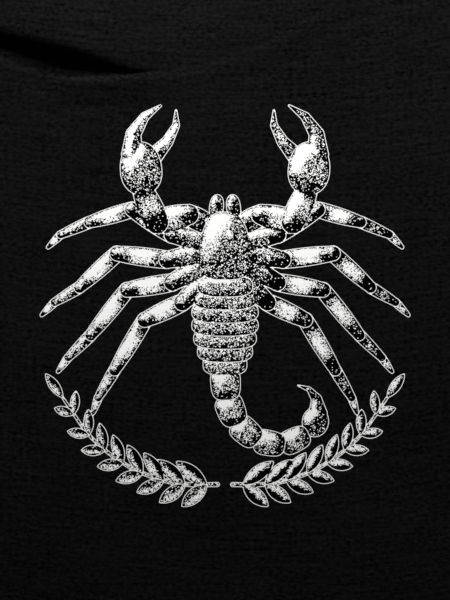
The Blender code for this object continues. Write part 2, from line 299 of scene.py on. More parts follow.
def jersey(name):
    """Black slub jersey: uneven yarns across, fine ribs up the cloth, and a washed mottle."""
    finish = Finish(name, Roughness=0.95, Specular_IOR_Level=0.02)
    x, y = cloth_plane(finish)
    bowed = y - x * x * 0.45
    lumps = finish.noise(x * 260.0, y * 400.0, 1.0)
    slubs = finish.noise(x * 24.0, bowed * 330.0, 1.0)
    ribs = finish.noise(x * 300.0, y * 14.0, 1.0)
    patches = finish.noise(x * 40.0 + 3.0, y * 60.0, 1.0)
    mottle = finish.noise(x * 9.0, y * 14.0, 2.0)
    grain = finish.noise(x * 700.0, y * 800.0, 1.0)
    busy = 0.3 + patches * 1.4
    tone = 0.5 + (lumps - 0.5) * busy * 1.0 + (slubs - 0.5) * 0.55 + (ribs - 0.5) * 0.16
    tone = tone + (mottle - 0.5) * 0.25 + (grain - 0.5) * 0.35
    finish.colour = finish.mix(tone, (0, 0, 0, 1), tuple(2 * c for c in JERSEY_BLACK[:3]) + (1,))
    wales = finish.maths("SINE", x * (2 * math.pi / 0.00085))
    courses = finish.maths("SINE", y * (2 * math.pi / 0.00070))
    finish.height = slubs * 0.00010 + lumps * 0.00008 + wales * 0.000012 + courses * 0.000008
    return finish


plain_jersey = jersey("jersey")
plain_jersey.set(plain_jersey.shader, "Base Color", plain_jersey.colour)
plain_jersey.relief(plain_jersey.height)

back_cut = body_outline(BACK_DROP, BACK_CURVE, EDGE_STEP)
back_flat, back_faces = cut(
    back_cut, np.concatenate([edge_points(back_cut, EDGE_ROWS), lattice(back_cut, BACK_LATTICE, 0.010)])
)
side_inset = 1 - 0.0012 / UNDERARM[0]
back_placed = np.column_stack([back_flat[:, 0] * side_inset, back_flat[:, 1], np.zeros(len(back_flat))])
back_panel = lay_cloth("back_cloth", back_flat, back_faces, back_placed, [plain_jersey.material])
face_up(back_panel)
thicken(back_panel, CLOTH, 1)
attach(back_panel, "root")
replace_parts(back_panel, "back_panel")

# Chest print
# A white ink drawing, screen-printed flat on the front: a large scorpion between two leafy sprigs.
# It is worked out as three levels, which the front keeps as attributes: the distance from the drawing's
# outer edge, the distance from its inner lines, and how light each part is drawn with specks of ink.
PRINT_CENTRE = (0.0, -0.005)
PRINT_REACH = 5.0
LINE_HALF = 0.27
SLOPE_STEP = 0.15
LAMP = np.array((-0.48, 0.64, 0.60))
SPRIG_STEM = ((6, -147), (40, -146), (76, -133), (106, -110), (129, -78))
SPRIG_PARTS = 12
LEAF_PAIRS, FIRST_LEAF, LEAF_SPACING = 8, 0.08, 0.115
LEAF_LENGTH, LEAF_SHORTER, LEAF_WIDTH, LEAF_NARROWER = 31, 1.7, 11.5, 0.6
LEGS = (
    ((10, 20), (34, -2), (64, -16), (88, -56), (101, -78), (105, -90)),
    ((13, 30), (42, 14), (78, 8), (107, -28), (125, -46), (133, -57)),
    ((14, 38), (46, 32), (86, 37), (116, 10), (136, -2), (146, -12)),
    ((13, 46), (42, 52), (74, 72), (108, 62), (131, 52), (141, 42)),
)
LEG_SIZES = (7.2, 7.0, 6.2, 4.8, 3.3, 1.6)
TAIL = ((0, -56), (1, -78), (9, -98), (25, -112), (46, -116), (65, -107))
TAIL_SIZES = (11.8, 11.2, 10.6, 10.0, 9.6)
STING_BULB = (72, -97)
STING = ((74, -90), (73, -79), (67, -71), (58, -68))
STING_SIZES = (7.5, 4.2, 1.9, 0.5)
BELLY_WIDTHS = (22, 25, 26.5, 26.5, 25, 22, 17.5)
BELLY_TOP, BELLY_SPACING = 11, 10.4
ARM = ((10, 58), (29, 68), (54, 62), (66, 88))
ARM_SIZES = (7.0, 8.2, 9.2, 8.0)
HAND = (67, 105)
FIXED_FINGER = ((74, 116), (73, 132), (64, 146), (51, 155))
FIXED_FINGER_SIZES = (8.5, 6.0, 3.6, 0.7)
MOVING_FINGER = ((57, 114), (46, 126), (39, 139), (39, 151))
MOVING_FINGER_SIZES = (7, 4.6, 2.8, 0.7)


class Shape:
    """A shape in the drawing, in millimetres: its level is below 0 inside, and it has a way along and across."""

    def __init__(self, find, low, high, depth):
        self.find = find
        self.low = low
        self.high = high
        self.depth = depth


def limb(points, sizes, bulge=0.0):
    """A tapered limb along a line of points, sizes thick from its middle at each of them."""
    points, sizes = np.array(points, float), np.array(sizes, float)
    lengths = np.hypot(*np.diff(points, axis=0).T)
    starts = np.concatenate([[0], np.cumsum(lengths)]) / lengths.sum()

    def find(p):
        best, along, across = np.full(len(p), 1e6), np.zeros(len(p)), np.zeros(len(p))
        for k, (a, b) in enumerate(zip(points, points[1:])):
            way = b - a
            t = np.clip((p - a) @ way / (way @ way), 0, 1)
            off = p - a - t[:, None] * way
            size = sizes[k] + (sizes[k + 1] - sizes[k]) * t + bulge * 4 * t * (1 - t)
            level = np.hypot(*off.T) - size
            nearer = level < best
            side = (off[:, 1] * way[0] - off[:, 0] * way[1]) / lengths[k] / np.maximum(size, 0.3)
            best = np.where(nearer, level, best)
            along = np.where(nearer, starts[k] + (starts[k + 1] - starts[k]) * t, along)
            across = np.where(nearer, side, across)
        return best, along, across

    room = sizes.max() + bulge + PRINT_REACH
    return Shape(find, points.min(0) - room, points.max(0) + room, sizes.max() + bulge)


def plate(centre, half_width, half_height, power=2.4, turn=0.0, taper=0.0):
    """A rounded plate, a higher power making it squarer, and narrower at its top by its taper."""
    centre = np.array(centre, float)
    small = min(half_width, half_height)

    def find(p):
        x, y = (p - centre).T
        x, y = x * math.cos(turn) + y * math.sin(turn), y * math.cos(turn) - x * math.sin(turn)
        width = half_width * (1 - taper * np.clip(y / half_height, -1.2, 1.2))
        level = (np.abs(x / width) ** power + np.abs(y / half_height) ** power) ** (1 / power) - 1
        return level * small, 0.5 + 0.5 * y / half_height, x / width

    room = 1.2 * max(half_width * (1 + abs(taper)), half_height) + PRINT_REACH
    return Shape(find, centre - room, centre + room, small)


def leaf(base, tip, width):
    """A pointed leaf between two arcs."""
    base, tip = np.array(base, float), np.array(tip, float)
    length, half = np.hypot(*(tip - base)), width / 2
    way = (tip - base) / length
    radius = (length**2 / 4 + half**2) / (2 * half)

    def find(p):
        u, v = (p - base) @ way, (p - base) @ (-way[1], way[0])
        upper = np.hypot(u - length / 2, v + radius - half) - radius
        lower = np.hypot(u - length / 2, v - radius + half) - radius
        return np.maximum(upper, lower), u / length, v / half

    middle, room = (base + tip) / 2, length / 2 + PRINT_REACH
    return Shape(find, middle - room, middle + room, half)


def join(first, second):
    """Two shapes drawn as one, with no line between them."""
    def find(p):
        ones, others = first.find(p), second.find(p)
        return [np.where(others[0] < ones[0], b, a) for a, b in zip(ones, others)]

    return Shape(find, np.minimum(first.low, second.low), np.maximum(first.high, second.high), first.depth)


class Drawing:
    """The levels of the print at some points, as its shapes are laid over each other."""

    def __init__(self, points):
        self.points = points
        self.outer = np.full(len(points), PRINT_REACH)
        self.inner = np.full(len(points), PRINT_REACH)
        self.tone = np.zeros(len(points))

    def add(self, shape, parity, base=0.2, light=0.85, band=0.0, band_at=(0.15, 0.4, 0.6, 0.85), half=0.0):
        """Lays a shape on top. Next to each other, shapes of unlike parity keep a line between them."""
        near = np.flatnonzero(((self.points > shape.low) & (self.points < shape.high)).all(1))
        if not len(near):
            return
        p = self.points[near]
        level, along, across = shape.find(p)
        slope = [
            (shape.find(p + step)[0] - shape.find(p - step)[0]) / (2 * SLOPE_STEP)
            for step in np.eye(2) * SLOPE_STEP
        ]
        steep = np.maximum(np.hypot(*slope), 0.25)
        distance = np.clip(level / steep, -40, PRINT_REACH)
        covered = distance < 0
        tilt = 1 - np.clip(-distance / shape.depth, 0, 1)
        normal = [slope[0] / steep * tilt, slope[1] / steep * tilt]
        normal.append(np.sqrt(np.clip(1 - normal[0] ** 2 - normal[1] ** 2, 0, 1)))
        tone = base + light * smooth(0.60, 0.95, LAMP @ normal)
        banded = smooth(band_at[0], band_at[1], along) * (1 - smooth(band_at[2], band_at[3], along))
        tone += band * banded * (1 - smooth(0.5, 1.0, np.abs(across)))
        tone += half * smooth(-0.05, 0.1, across)
        tone *= smooth(0.2, 1.3, -distance)
        old = self.inner[near]
        kept = np.where(old < 0, -1, 1) * np.minimum(np.abs(old), np.abs(distance))
        self.outer[near] = np.minimum(self.outer[near], distance)
        self.inner[near] = np.where(covered, parity * np.minimum(np.abs(distance), PRINT_REACH), kept)
        self.tone[near] = np.where(covered, tone, self.tone[near])


def along_curve(points, t):
    """A point of the smooth curve through these points, t from 0 to 1, and the direction there."""
    points = np.array(points, float)
    ends = np.concatenate([[points[0]], points, [points[-1]]])
    k = min(int(t * (len(points) - 1)), len(points) - 2)
    u = t * (len(points) - 1) - k
    a, b, c, d = ends[k:k + 4]
    place = b + 0.5 * ((c - a) * u + (2 * a - 5 * b + 4 * c - d) * u**2 + (3 * b - a - 3 * c + d) * u**3)
    way = (c - a) + 2 * (2 * a - 5 * b + 4 * c - d) * u + 3 * (3 * b - a - 3 * c + d) * u**2
    return place, way / np.hypot(*way)


def draw_sprig(drawing, side):
    stem = [along_curve(SPRIG_STEM, k / SPRIG_PARTS)[0] * (side, 1) for k in range(SPRIG_PARTS + 1)]
    drawing.add(limb(stem, np.linspace(1.7, 0.9, len(stem))), 1, base=0.9)
    for k in range(LEAF_PAIRS):
        root, way = along_curve(SPRIG_STEM, FIRST_LEAF + k * LEAF_SPACING)
        out = np.array((-way[1], way[0]))
        for up, share in ((-1, 0.86), (1, 1.0)):
            tip = way * 0.78 + out * up * 0.63
            tip *= share * (LEAF_LENGTH - LEAF_SHORTER * k) / np.hypot(*tip)
            shape = leaf(root * (side, 1), (root + tip) * (side, 1), LEAF_WIDTH - LEAF_NARROWER * k)
            drawing.add(shape, -side * up, base=0.05, light=0.3, half=0.75)
    root, way = along_curve(SPRIG_STEM, 1.0)
    shape = leaf(root * (side, 1), (root + way * 24) * (side, 1), 8)
    drawing.add(shape, -1, base=0.05, light=0.3, half=0.75)


def draw_tail(drawing):
    bulb = plate(STING_BULB, 10.5, 12.0, 2.0, -0.15)
    drawing.add(join(bulb, limb(STING, STING_SIZES)), 1, base=0.22, light=1.0)
    for k in reversed(range(len(TAIL_SIZES))):
        a, b = np.array(TAIL[k], float), np.array(TAIL[k + 1], float)
        way = b - a
        turn = math.atan2(-way[0], way[1]) + math.pi
        shape = plate((a + b) / 2, TAIL_SIZES[k], np.hypot(*way) * 0.58, 3.2, turn, -0.06)
        drawing.add(shape, -1 if k % 2 == 0 else 1, base=0.16, light=1.0, band=0.35)


def draw_limbs(drawing, side):
    """The four legs of one side."""
    for leg in LEGS:
        joints = np.array(leg) * (side, 1)
        for k in reversed(range(len(joints) - 1)):
            shape = limb(joints[k:k + 2], (LEG_SIZES[k], LEG_SIZES[k + 1] * 0.95), 0.9 if k < 3 else 0.3)
            band = 0.75 if k in (1, 2, 4) else 0.2
            drawing.add(shape, 1 if k % 2 == 0 else -1, base=0.13, light=0.75, band=band)


def draw_pincer(drawing, side):
    joints = np.array(ARM) * (side, 1)
    for k in range(len(joints) - 1):
        shape = limb(joints[k:k + 2], ARM_SIZES[k:k + 2], 1.4)
        drawing.add(shape, -1 if k % 2 == 0 else 1, base=0.15, light=0.85, band=0.45 if k else 0)
    moving = limb(np.array(MOVING_FINGER) * (side, 1), MOVING_FINGER_SIZES)
    drawing.add(moving, 1, light=0.9, band=0.3)
    hand = plate(np.array(HAND) * (side, 1), 16.5, 21, 2.2, side * -0.10, 0.06)
    fixed = limb(np.array(FIXED_FINGER) * (side, 1), FIXED_FINGER_SIZES)
    drawing.add(join(hand, fixed), -1, base=0.22, light=1.0, band=0.2)


def print_levels(points):
    """The print's three levels at points of the front, the distances in millimetres."""
    drawing = Drawing((points - PRINT_CENTRE) * 1000)
    for side in (-1, 1):
        draw_sprig(drawing, side)
        draw_limbs(drawing, side)
    draw_tail(drawing)
    for k in reversed(range(len(BELLY_WIDTHS))):
        shape = plate((0, BELLY_TOP - BELLY_SPACING * k), BELLY_WIDTHS[k], 8.6, 2.8)
        drawing.add(shape, -1 if k % 2 == 0 else 1, base=0.26, light=0.75, band=0.25)
    for side in (-1, 1):
        draw_pincer(drawing, side)
        drawing.add(plate((side * 6.8, 74), 5.6, 10, 2.2, side * 0.12), side, light=0.9)
    drawing.add(plate((0, 43), 20, 27, 3.0, 0, 0.22), 1, base=0.30, light=0.85)
    for side in (-1, 1):
        drawing.add(plate((side * 3.6, 52), 2.7, 3.2, 2.0), -1, base=1.0, light=1.0)
        drawing.add(plate((side * 15.0, 64), 1.6, 1.9, 2.0), -1, base=1.0, light=1.0)
    return drawing.outer, drawing.inner, drawing.tone


# Front panel
# The front of the body, cut from the same jersey, with a swag fold pushed up across the upper chest.
# Its sides and shoulders roll down to their seams, and its open hem lies on the back's.
FRONT_DROP, FRONT_CURVE = 0.112, 1.0
REST = 0.0014
CREST_LEVEL_X, CREST_LOWEST_Y = -0.125, 0.1722
CREST_BEND_LEFT, CREST_BEND_RIGHT, CREST_CUBE_RIGHT = 5.0, 0.62, 3.6
FOLD_TIP_X = -0.062
LIP_SLOPE, LIP_BEND = 0.19, 0.42
FOLD_LEFT_END, FOLD_RIGHT_END = -0.236, 0.150
UPPER_RISE_LEFT, UPPER_RISE_RIGHT, UPPER_REACH = 0.0115, 0.0012, 0.070
UPPER_LOSS_LEFT = 0.0030
CREST_RISE, CREST_RISE_LEFT, CREST_RISE_RIGHT, HOLLOW_SINK = 0.0026, 0.0004, 0.0013, 0.0014
PROFILE_ABOVE, PROFILE_BELOW = 0.022, 0.024
CLOSED_ABOVE = (0.022, 0.018, 0.014, 0.0105, 0.0075, 0.005, 0.003, 0.0015, 0.0004)
CLOSED_BELOW = (0.0005, 0.0018, 0.0045, 0.0085, 0.014, 0.024)
CLOSED_SHARES = (0.08, 0.32, 0.75, 1.0, 0.65, 0.0)
PROFILE_SAMPLES = 120
FOLD_ROW_STEP, FOLD_COLUMN_STEP = 0.0010, 0.0040
EDGE_PUFF, EDGE_PUFF_REACH, EDGE_SETTLE = 0.0020, 0.012, 0.045
BROAD_WAVE = 0.0009
DRAG_HEIGHT, DRAG_WIDTH, DRAG_LENGTH = 0.0042, 0.017, 0.120
DRAG_ANGLES = (math.radians(24), math.radians(-14), math.radians(-50))
HEM_RIPPLE, HEM_RIPPLE_LENGTH, HEM_RIPPLE_REACH = 0.0022, 0.155, 0.150
SEAM_ROLL, SEAM_ROLL_REACH = 0.0004, 0.0022
FINE_STEP, NEAR_LINE, NEAR_PRINT = 0.0013, 1.4, 3.0
PRINT_LOW, PRINT_HIGH = (-0.152, -0.175), (0.152, 0.152)
SPECK = 0.0007
PRINT_LEVELS = ("print_outer", "print_inner", "print_tone")
INK_WHITE, INFILL_BLACK = (0.86, 0.86, 0.85, 1), (0.0006, 0.0006, 0.0006, 1)


def crest_line(x):
    """Where the fold's lower crest crosses the chest at x."""
    t = x - CREST_LEVEL_X
    right = CREST_BEND_RIGHT * t**2 + CREST_CUBE_RIGHT * t**3
    return CREST_LOWEST_Y + np.where(t < 0, CREST_BEND_LEFT * t**2, right)


def lip_line(x):
    """Where the lip of the upper cloth is at x. Right of the tip it meets the crest."""
    away = np.maximum(0, FOLD_TIP_X - x)
    return crest_line(np.maximum(x, FOLD_TIP_X)) + LIP_SLOPE * away + LIP_BEND * away**2


def upper_rise(x, above):
    """How high the cloth lies at this distance above the lip."""
    open_share = 1 - smooth(-0.125, -0.055, x)
    rise = UPPER_RISE_RIGHT + (UPPER_RISE_LEFT - UPPER_RISE_RIGHT) * open_share
    rise = rise - UPPER_LOSS_LEFT * (1 - smooth(-0.185, -0.130, x))
    return rise * np.exp(-((above / UPPER_REACH) ** 2))


def open_profile(x):
    """Points on the open fold's section at x, from above the lip to below the crest, as Y and rise."""
    lip, crest = lip_line(x), crest_line(x)
    top = upper_rise(x, 0)
    drop = top + HOLLOW_SINK
    roll = drop / (UPPER_RISE_LEFT + HOLLOW_SINK)
    crest_rise = CREST_RISE_LEFT + (CREST_RISE - CREST_RISE_LEFT) * smooth(-0.150, -0.115, x)
    hollow = np.full_like(x, -HOLLOW_SINK)
    return np.array([
        (lip + PROFILE_ABOVE, upper_rise(x, PROFILE_ABOVE)),
        (lip + 0.0150, upper_rise(x, 0.015)),
        (lip + 0.0095, top - 0.02 * drop),
        (lip + 0.0052, top - 0.09 * drop),
        (lip + 0.0020 * roll, top - 0.30 * drop),
        (lip - 0.0006 * roll, top - 0.55 * drop),
        (lip + 0.0020 * roll, top - 0.82 * drop),
        (lip + 0.0012, hollow),
        (lip + 0.5 * (crest - lip), hollow),
        (crest + 0.0004, 0.8 * hollow),
        (crest - 0.0008, 0.3 * crest_rise),
        (crest - 0.0030, 1.05 * crest_rise),
        (crest - 0.0075, crest_rise),
        (crest - 0.0150, 0.45 * crest_rise),
        (crest - PROFILE_BELOW, 0 * crest_rise),
    ])


def closed_profile(x):
    """The same points where the fold is only a shallow valley, right of its tip."""
    crest, top = crest_line(x), upper_rise(x, PROFILE_ABOVE)
    above = [(crest + away, top * (1 - (1 - away / PROFILE_ABOVE) ** 2)) for away in CLOSED_ABOVE]
    below = [(crest - away, CREST_RISE_RIGHT * share + 0 * x) for away, share in zip(CLOSED_BELOW, CLOSED_SHARES)]
    return np.array(above + below)


def fold_profile(x):
    """The fold's section at x, as it goes from open to closed."""
    closed = smooth(FOLD_TIP_X - 0.020, FOLD_TIP_X + 0.015, x)
    return open_profile(x) * (1 - closed) + closed_profile(x) * closed


def smooth_curve(corners, samples):
    """Points along the soft curve that these corners pull, from the first corner to the last."""
    pulls = np.concatenate([[2 * corners[0] - corners[1]], corners, [2 * corners[-1] - corners[-2]]])
    place = (len(corners) - 1) * np.arange(samples + 1) / samples
    k = np.minimum(place.astype(int), len(corners) - 2)
    t = (place - k)[:, None, None]
    weights = ((1 - t) ** 3, 3 * t**3 - 6 * t**2 + 4, 1 + 3 * t + 3 * t**2 - 3 * t**3, t**3)
    return sum(weight * pulls[k + i] for i, weight in enumerate(weights)) / 6


def fold_shift(x, y):
    """How far the fold moves points of the flat front: along Y, and up."""
    top, bottom = lip_line(x) + PROFILE_ABOVE, crest_line(x) - PROFILE_BELOW
    along = np.zeros_like(x)
    up = np.where(y >= top, upper_rise(x, y - lip_line(x)), 0.0)
    found = np.flatnonzero((y < top) & (y > bottom))
    curve = smooth_curve(fold_profile(x[found]), PROFILE_SAMPLES)
    lengths = np.hypot(*np.moveaxis(np.diff(curve, axis=0), 1, 0))
    reached = np.cumsum(lengths, 0)
    goal = reached[-1] * ((top - y) / (top - bottom))[found]
    k = np.minimum((reached < goal).sum(0), PROFILE_SAMPLES - 1)
    each = np.arange(len(found))
    t = 1 - (reached[k, each] - goal) / lengths[k, each]
    place = curve[k, :, each] + t[:, None] * (curve[k + 1, :, each] - curve[k, :, each])
    along[found] = place[:, 0] - y[found]
    up[found] = place[:, 1]
    return along, up


def lie(flat):
    """Where points of the flat front lie: the top of the cloth."""
    x, y = flat.T
    edge_distance = from_line(flat, front_cut)
    settle = smooth(0, EDGE_SETTLE, edge_distance)
    puff = 1 - np.exp(-edge_distance / EDGE_PUFF_REACH)
    height = EDGE_PUFF * puff
    waves = 1 + 0.5 * np.sin(11 * x + 9 * y + 0.6) + 0.5 * np.sin(17 * y - 13 * x + 2.1)
    height += settle * BROAD_WAVE * waves
    for side in (-1, 1):
        away = UNDERARM * (side, 1) - flat
        for number, angle in enumerate(DRAG_ANGLES):
            along = np.array((side * math.cos(angle), math.sin(angle)))
            reach = away @ along
            off = away[:, 0] * along[1] - away[:, 1] * along[0]
            swell = smooth(0, 0.03, reach) * (1 - smooth(0.05, DRAG_LENGTH, reach))
            share = 1 - 0.25 * number
            height += settle * share * DRAG_HEIGHT * swell * np.exp(-((off / DRAG_WIDTH) ** 2))
    ripple = 0.5 + 0.5 * np.sin(2 * math.pi * x / HEM_RIPPLE_LENGTH + 0.9 * np.sin(9 * x))
    height += puff * HEM_RIPPLE * ripple * np.exp(-(y - HEM_Y) / HEM_RIPPLE_REACH)

    shift, up = fold_shift(x, y)
    fade = smooth(FOLD_LEFT_END, FOLD_LEFT_END + 0.050, x)
    fade = settle * fade * (1 - smooth(FOLD_RIGHT_END - 0.110, FOLD_RIGHT_END, x))
    height = np.maximum(0, height + fade * up)

    hem = y - HEM_Y
    height += HEM_RISE * (1 - smooth(HEM_DEPTH - 0.001, HEM_DEPTH + 0.002, hem))
    for line in STITCH_LINES:
        height -= STITCH_SINK * np.exp(-(((hem - line) / 0.0011) ** 2))
    seam_distance = np.minimum(from_line(flat, seam_line, False), from_line(flat, seam_line * (-1, 1), False))
    height -= SEAM_ROLL * np.exp(-((seam_distance / SEAM_ROLL_REACH) ** 2))
    return np.column_stack([x, y + fade * shift, REST + CLOTH + height])


def print_lattice():
    """A staggered grid over the front: every fourth point, and more of them in the print and at its lines."""
    rows = np.arange(round((NECK_Y - HEM_Y) / (FINE_STEP * ROW_SHARE)))
    columns = np.arange(round(2 * UNDERARM[0] / FINE_STEP))
    row, column = [grid.ravel() for grid in np.meshgrid(rows, columns)]
    x = -UNDERARM[0] + (column + 0.5 * (row % 2)) * FINE_STEP
    points = np.column_stack([x, HEM_Y + row * FINE_STEP * ROW_SHARE])
    coarse = (row % 4 == 0) & ((column - row // 2) % 4 == 0)
    middling = (row % 2 == 0) & ((column - row // 2) % 2 == 0)
    in_print = ((points > PRINT_LOW) & (points < PRINT_HIGH)).all(1)
    loose = points[coarse & ~in_print]
    loose = loose[inside(loose, front_cut)]
    loose = loose[from_line(loose, front_cut) > 0.0085]
    points, coarse, middling = points[in_print], coarse[in_print], middling[in_print]
    outer, inner, _ = print_levels(points)
    at_line = np.minimum(np.abs(outer), np.where(outer < NEAR_LINE, np.abs(inner), 9)) < NEAR_LINE
    return np.concatenate([loose, points[coarse | at_line | (middling & (outer < NEAR_PRINT))]])


def printed_jersey():
    """The front's outer side: jersey, with the print's lines, infill and specks of ink on it."""
    finish = jersey("printed_jersey")
    x, y = cloth_plane(finish)
    outer, inner, tone = [
        finish.node("ShaderNodeAttribute", {"attribute_name": name}, {}, 2) for name in PRINT_LEVELS
    ]
    cells = finish.node(
        "ShaderNodeTexVoronoi", {"voronoi_dimensions": "2D"},
        {"Vector": finish.point(x, y), "Scale": 1 / SPECK}, 1
    )
    chance = finish.node("ShaderNodeSeparateColor", {}, {0: cells})
    filled = outer < 0.0
    lines = (abs(outer) < LINE_HALF) | (filled & (abs(inner) < LINE_HALF))
    specks = filled & (tone > chance * 0.9 + 0.1)
    ink = lines | specks
    ground = finish.mix(filled, finish.colour, INFILL_BLACK)
    finish.set(finish.shader, "Base Color", finish.mix(ink, ground, INK_WHITE))
    finish.set(finish.shader, "Roughness", 0.95 - ink * 0.25)
    finish.relief(finish.height * (1 - ink * 0.6) + ink * 0.00004)
    return finish.material


front_cut = body_outline(FRONT_DROP, FRONT_CURVE, EDGE_STEP)
seam_line = np.array(right_seam(EDGE_STEP))
fold_rows = round((PROFILE_ABOVE + PROFILE_BELOW + 0.028) / FOLD_ROW_STEP)
fold_columns = np.arange(FOLD_LEFT_END, FOLD_RIGHT_END, FOLD_COLUMN_STEP)
fold_share, fold_x = [grid.ravel() for grid in np.meshgrid(np.linspace(0, 1, fold_rows), fold_columns)]
fold_low, fold_high = crest_line(fold_x) - PROFILE_BELOW, lip_line(fold_x) + PROFILE_ABOVE
fold_grid = np.column_stack([fold_x, fold_low + (fold_high - fold_low) * fold_share])
fold_grid = fold_grid[inside(fold_grid, front_cut)]
fold_grid = fold_grid[from_line(fold_grid, front_cut) > 0.008]
loose = print_lattice()
in_fold = loose[:, 1] > crest_line(loose[:, 0]) - PROFILE_BELOW - 2 * FINE_STEP
in_fold &= loose[:, 1] < lip_line(loose[:, 0]) + PROFILE_ABOVE + 2 * FINE_STEP
in_fold &= (loose[:, 0] > FOLD_LEFT_END) & (loose[:, 0] < FOLD_RIGHT_END)
loose = loose[~in_fold & (loose[:, 1] > HEM_Y + 0.027)]

front_flat, front_faces = cut(
    front_cut, np.concatenate([edge_points(front_cut, EDGE_ROWS), hem_points(), fold_grid, loose])
)
front_finishes = [printed_jersey(), plain_jersey.material]
front_panel = lay_cloth("front_cloth", front_flat, front_faces, lie(front_flat), front_finishes)
for level_name, level in zip(PRINT_LEVELS, print_levels(front_flat)):
    attribute = front_panel.data.attributes.new(level_name, "FLOAT", "POINT")
    attribute.data.foreach_set("value", level.astype(np.float32))
face_up(front_panel)
thicken(front_panel, CLOTH, -1, 1)
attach(front_panel, "root")
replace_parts(front_panel, "front_panel")

# Sleeves
# Two short set-in sleeves of the same jersey, each a tube pressed flat and sewn round its armhole.
# Each cuff is turned in once and held by two rows of stitches, like the hem.
SLEEVE_LENGTH, SLEEVE_DROOP = 0.222, math.radians(32)
CUFF_WIDTH, CUFF_SLANT = 0.185, math.radians(26)
SLEEVE_SEAM_HEIGHT, SLEEVE_EDGE_HEIGHT, SLEEVE_PUFF = 0.0025, 0.0036, 0.0024
SLEEVE_GAP = 0.0003
SLEEVE_COLUMNS, SLEEVE_ROWS, SLEEVE_FOLD_STEPS = 60, 60, 6
CUFF_ROWS = (0.0, 0.0008, 0.0018, 0.0036, 0.0064) + HEM_ROWS
SLEEVE_CREASES = ((1.00, 0.05, 0.62, 0.42), (0.96, 0.02, 0.40, 0.62), (0.20, 0.02, 0.55, 0.50))
CREASE_HEIGHT, CREASE_WIDTH = 0.0022, 0.055

cuff_outward = np.array((math.cos(SLEEVE_DROOP), -math.sin(SLEEVE_DROOP)))
cuff_inward = np.array((-math.sin(CUFF_SLANT), -math.cos(CUFF_SLANT)))
cuff_normal = np.array((math.cos(CUFF_SLANT), -math.sin(CUFF_SLANT)))
cuff_top = SHOULDER_TIP + cuff_outward * SLEEVE_LENGTH


def armhole_edge(across):
    """The sleeve's edge at the armhole, from the shoulder at 0 to the underarm at 1."""
    t = 1 - np.asarray(across)
    way = armhole(t + 1e-4) - armhole(t - 1e-4)
    way /= np.hypot(way[..., 0], way[..., 1])[..., None]
    return armhole(t) + SLEEVE_GAP * np.stack([way[..., 1], -way[..., 0]], -1)


def sleeve_height(across, along, hem):
    """The height of the sleeve's upper side, from 0 to 1 across and from armhole to cuff along."""
    puff = np.sin(math.pi * across) ** 0.6 * smooth(-0.05, 0.20, along)
    soft_fold = 0.5 + 0.5 * np.cos(2 * math.pi * (1.6 * across - 0.55 * along))
    height = SLEEVE_SEAM_HEIGHT + (SLEEVE_EDGE_HEIGHT - SLEEVE_SEAM_HEIGHT) * smooth(0, 0.15, along)
    height = height + SLEEVE_PUFF * puff * (0.55 + 0.45 * soft_fold * (1 - 0.5 * along))
    for start_across, start_along, end_across, end_along in SLEEVE_CREASES:
        way = np.array((end_across - start_across, end_along - start_along))
        length = np.hypot(*way)
        way /= length
        reach = (across - start_across) * way[0] + (along - start_along) * way[1]
        off = (across - start_across) * way[1] - (along - start_along) * way[0]
        swell = smooth(0, 0.3 * length, reach) * (1 - smooth(0.4 * length, length, reach))
        height = height + CREASE_HEIGHT * puff * swell * np.exp(-((off / CREASE_WIDTH) ** 2))
    rise = HEM_RISE * (1 - smooth(HEM_DEPTH - 0.001, HEM_DEPTH + 0.002, hem))
    for line in STITCH_LINES:
        rise = rise - STITCH_SINK * np.exp(-(((hem - line) / 0.0011) ** 2))
    return height + rise * np.sin(math.pi * across) ** 0.3


def sleeve_rings():
    """The sleeve's rings of points from armhole to cuff, on its outer side, and their places in the cut."""
    across = np.linspace(0, 1, SLEEVE_COLUMNS + 1)
    seam = armhole_edge(across)
    cuff = cuff_top + cuff_inward * CUFF_WIDTH * across[:, None]
    span = (cuff - seam) @ cuff_normal
    shares = np.linspace(0, 1, SLEEVE_ROWS + 1)[:, None]
    first_rows = CUFF_ROWS[-1] + (span - CUFF_ROWS[-1]) * (1 - shares)
    last_rows = np.array(CUFF_ROWS[-2::-1])[:, None] + 0 * span
    hem = np.concatenate([first_rows, last_rows])
    along = 1 - hem / span
    plan = seam + (cuff - seam) * along[..., None]
    top = np.concatenate([plan, sleeve_height(across + 0 * along, along, hem)[..., None]], -1)
    under = np.concatenate([plan[:, ::-1], np.zeros_like(along)[..., None]], -1)
    rings = [top]
    for end, inner in ((-1, -2), (0, 1)):
        beyond = plan[:, end] - plan[:, inner]
        beyond /= np.hypot(*beyond.T)[:, None]
        radius = top[:, end, 2] / 2
        turns = np.pi * np.arange(1, SLEEVE_FOLD_STEPS) / SLEEVE_FOLD_STEPS
        for turn in turns:
            place = plan[:, end] + beyond * (radius * np.sin(turn))[:, None]
            level = radius + radius * np.cos(turn) * (1 if end else -1)
            rings.append(np.column_stack([place, level])[:, None])
        if end:
            rings.append(under)
    return np.concatenate(rings, 1)


def build_sleeve(name, side):
    rings = sleeve_rings() * (side, 1, 1)
    rows, count = rings.shape[:2]
    starts = np.arange(rows - 1)[:, None] * count
    here, beside = np.arange(count), (np.arange(count) + 1) % count
    faces = np.stack([starts + here, starts + beside, starts + count + beside, starts + count + here], -1)
    faces = faces.reshape(-1, 4)[:, ::side]
    points = rings.reshape(-1, 3)
    sleeve = lay_cloth(name, points[:, :2], faces.tolist(), points, [plain_jersey.material])
    thicken(sleeve, CLOTH, -1)
    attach(sleeve, "root")
    return sleeve


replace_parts(build_sleeve("right_sleeve", 1), "sleeve_right")
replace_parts(build_sleeve("left_sleeve", -1), "sleeve_left")

